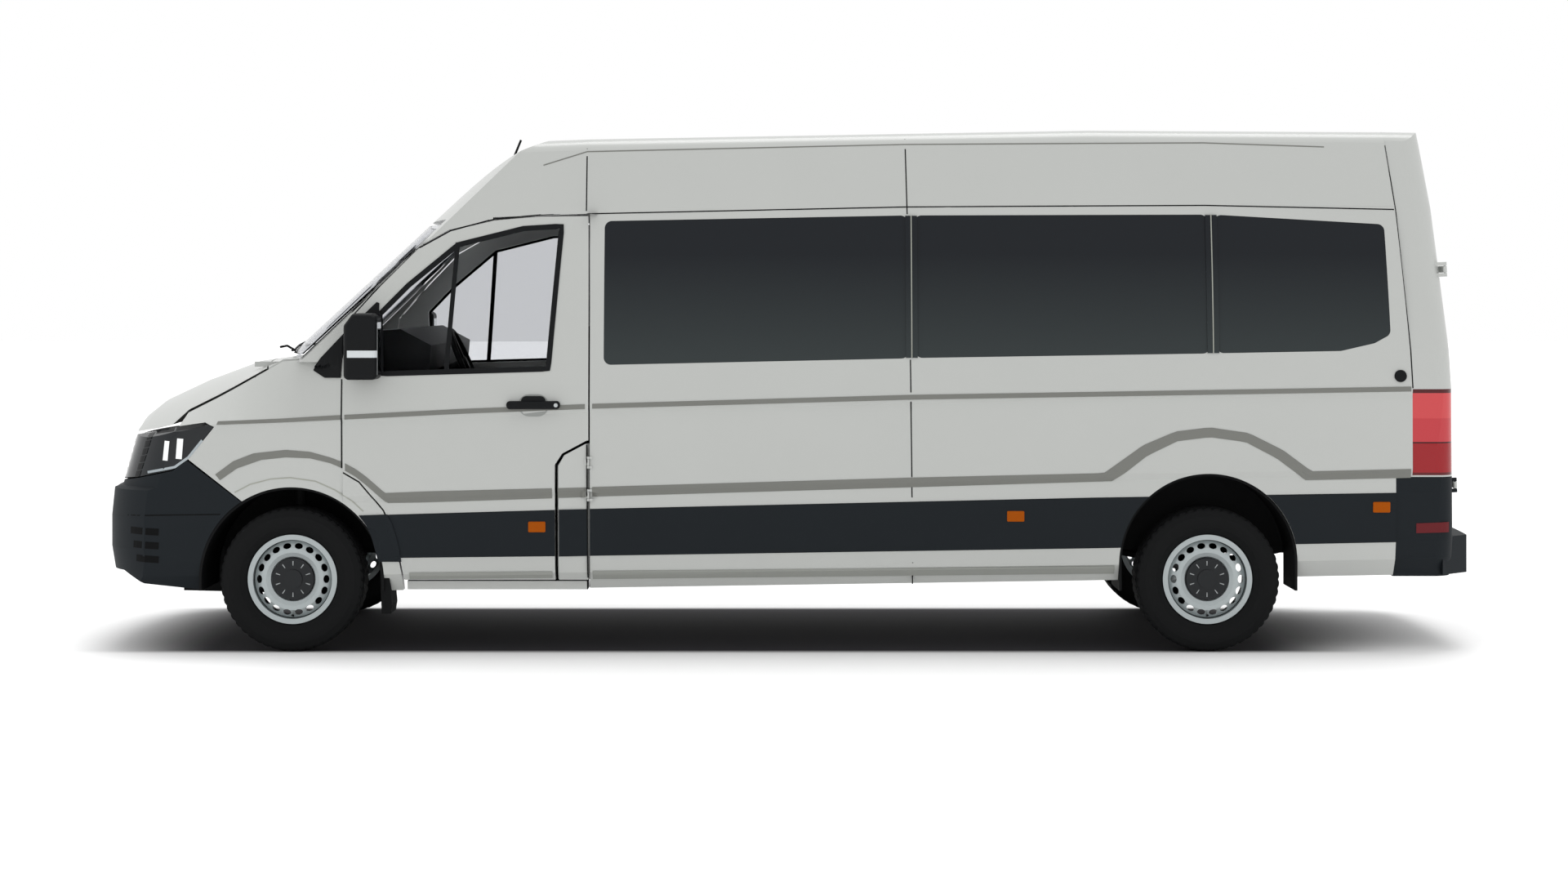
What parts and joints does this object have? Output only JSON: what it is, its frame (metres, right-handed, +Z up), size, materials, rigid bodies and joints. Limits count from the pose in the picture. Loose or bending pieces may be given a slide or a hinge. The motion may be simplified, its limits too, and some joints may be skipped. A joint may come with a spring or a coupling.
{
  "type": "panel van",
  "caption": "Long-wheelbase high-roof panel van with glazed load sides, a sliding side door, hinged rear doors, opening cab doors and bonnet, steered front wheels and rolling wheels.",
  "frame": {"origin": "on the ground below the middle of the vehicle's box", "axes": "+X towards the rear, +Y to the vehicle's right side, +Z up"},
  "size_m": [6.8358, 2.424, 2.5892],
  "materials": {
    "paint": "silver paint, satin",
    "dark_plastic": "charcoal, fine grain",
    "lamp_clear": "smoked clear lens",
    "lamp_red": "red lens",
    "clear_glass": "clear glass",
    "dark_glass": "privacy glass",
    "underbody": "black underbody paint",
    "engine": "as cast",
    "tyre": "rubber",
    "wheel_silver": "silver enamel",
    "seat_fabric": "woven"
  },
  "bodies": {
    "body": {"front_wings": "paint", "roof_cap": "paint", "side_panel_left": "paint", "side_panel_right": "paint", "sliding_door": "paint", "roof": "paint", "rear_frame": "paint", "cab_frame": "paint", "grille": "dark_plastic", "front_bumper": "dark_plastic", "rear_bumper": "dark_plastic", "lower_bands": "dark_plastic", "dashboard": "dark_plastic", "headlamps": "lamp_clear", "tail_lamps": "lamp_red", "windscreen": "clear_glass", "side_glass": "dark_glass", "floor_pan": "underbody", "front_subframe": "underbody", "rear_axle": "underbody", "engine_block": "engine", "seats": "seat_fabric"},
    "knuckle_left": {"knuckle_left": "underbody"},
    "knuckle_right": {"knuckle_right": "underbody"},
    "wheel_front_left": {"tyre_front_left": "tyre", "rim_front_left": "wheel_silver"},
    "wheel_front_right": {"tyre_front_right": "tyre", "rim_front_right": "wheel_silver"},
    "wheel_rear_left": {"tyre_rear_left": "tyre", "rim_rear_left": "wheel_silver"},
    "wheel_rear_right": {"tyre_rear_right": "tyre", "rim_rear_right": "wheel_silver"},
    "front_door_left": {"front_door_left": "paint", "door_glass_left": "clear_glass", "door_band_left": "dark_plastic", "mirror_left": "dark_plastic"},
    "front_door_right": {"front_door_right": "paint", "door_glass_right": "clear_glass", "door_band_right": "dark_plastic", "mirror_right": "dark_plastic"},
    "rear_door_left": {"rear_door_left": "paint", "rear_glass_left": "dark_glass"},
    "rear_door_right": {"rear_door_right": "paint", "rear_glass_right": "dark_glass"},
    "bonnet": {"bonnet": "paint"},
    "fuel_flap": {"fuel_flap": "paint"}
  },
  "joints": [
    {"name": "steer_left", "type": "hinge", "parent": "body", "child": "knuckle_left", "pos_m": [-2.418, -0.785, 0.353], "axis": [0, 0, 1], "range_deg": [-35, 35]},
    {"name": "steer_right", "type": "hinge", "parent": "body", "child": "knuckle_right", "pos_m": [-2.418, 0.785, 0.353], "axis": [0, 0, 1], "range_deg": [-35, 35]},
    {"name": "roll_front_left", "type": "hinge", "parent": "knuckle_left", "child": "wheel_front_left", "pos_m": [-2.418, -0.875, 0.353], "axis": [0, 1, 0], "continuous": true},
    {"name": "roll_front_right", "type": "hinge", "parent": "knuckle_right", "child": "wheel_front_right", "pos_m": [-2.418, 0.875, 0.353], "axis": [0, 1, 0], "continuous": true},
    {"name": "roll_rear_left", "type": "hinge", "parent": "body", "child": "wheel_rear_left", "pos_m": [2.072, -0.875, 0.353], "axis": [0, 1, 0], "continuous": true},
    {"name": "roll_rear_right", "type": "hinge", "parent": "body", "child": "wheel_rear_right", "pos_m": [2.072, 0.875, 0.353], "axis": [0, 1, 0], "continuous": true},
    {"name": "front_door_left_hinge", "type": "hinge", "parent": "body", "child": "front_door_left", "pos_m": [-2.163, -1.028, 1.2], "axis": [0, 0, -1], "range_deg": [0, 70]},
    {"name": "front_door_right_hinge", "type": "hinge", "parent": "body", "child": "front_door_right", "pos_m": [-2.163, 1.028, 1.2], "axis": [0, 0, 1], "range_deg": [0, 70]},
    {"name": "rear_door_left_hinge", "type": "hinge", "parent": "body", "child": "rear_door_left", "pos_m": [3.302, -0.89, 0.812], "axis": [0.0469, 0, -0.9989], "range_deg": [0, 180]},
    {"name": "rear_door_right_hinge", "type": "hinge", "parent": "body", "child": "rear_door_right", "pos_m": [3.302, 0.89, 0.812], "axis": [-0.0469, 0, 0.9989], "range_deg": [0, 180]},
    {"name": "bonnet_hinge", "type": "hinge", "parent": "body", "child": "bonnet", "pos_m": [-2.48, 0, 1.4], "axis": [0, 1, 0], "range_deg": [0, 60]},
    {"name": "fuel_flap_hinge", "type": "hinge", "parent": "body", "child": "fuel_flap", "pos_m": [-0.963, -1.02, 0.85], "axis": [0, 0, 1], "range_deg": [0, 100]}
  ],
  "couplings": [
    {"joint": "steer_right", "follows": "steer_left", "ratio": 1}
  ]
}
